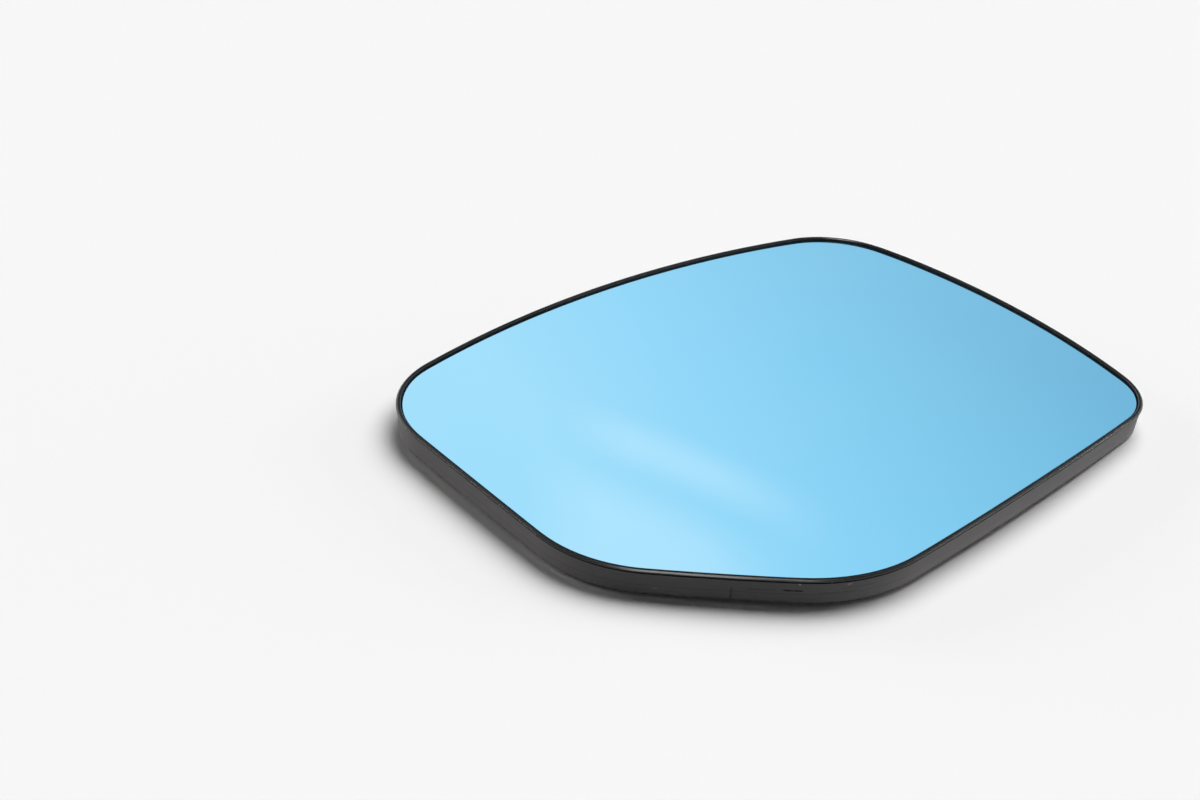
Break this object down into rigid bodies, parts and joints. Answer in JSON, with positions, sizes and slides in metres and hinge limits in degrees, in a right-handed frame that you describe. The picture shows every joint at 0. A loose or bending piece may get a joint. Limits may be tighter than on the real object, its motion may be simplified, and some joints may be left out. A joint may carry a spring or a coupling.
{
  "type": "car door mirror glass",
  "caption": "Convex car door mirror glass with a blue reflecting coat, bonded into a black moulded backing plate with a lipped rim, a clip collar and heater blades behind.",
  "frame": {"origin": "on the actuator's axis, in the end face of the collar on the back, which is also the face that the part rests on", "axes": "+Z out of the glass, +X to the right along the top side as seen from the front, +Y up as fitted"},
  "size_m": [0.1726, 0.1353, 0.0092],
  "materials": {
    "coated_glass": "polished, blue-tinted reflecting coat",
    "heater_film": "smooth film",
    "black_moulding": "satin moulded",
    "terminal_brass": "stamped"
  },
  "bodies": {
    "root": {"mirror_glass": "coated_glass", "heater_pad": "heater_film", "backing_plate": "black_moulding", "terminal_left": "terminal_brass", "terminal_right": "terminal_brass", "terminal_rivets": "terminal_brass"}
  },
  "joints": []
}
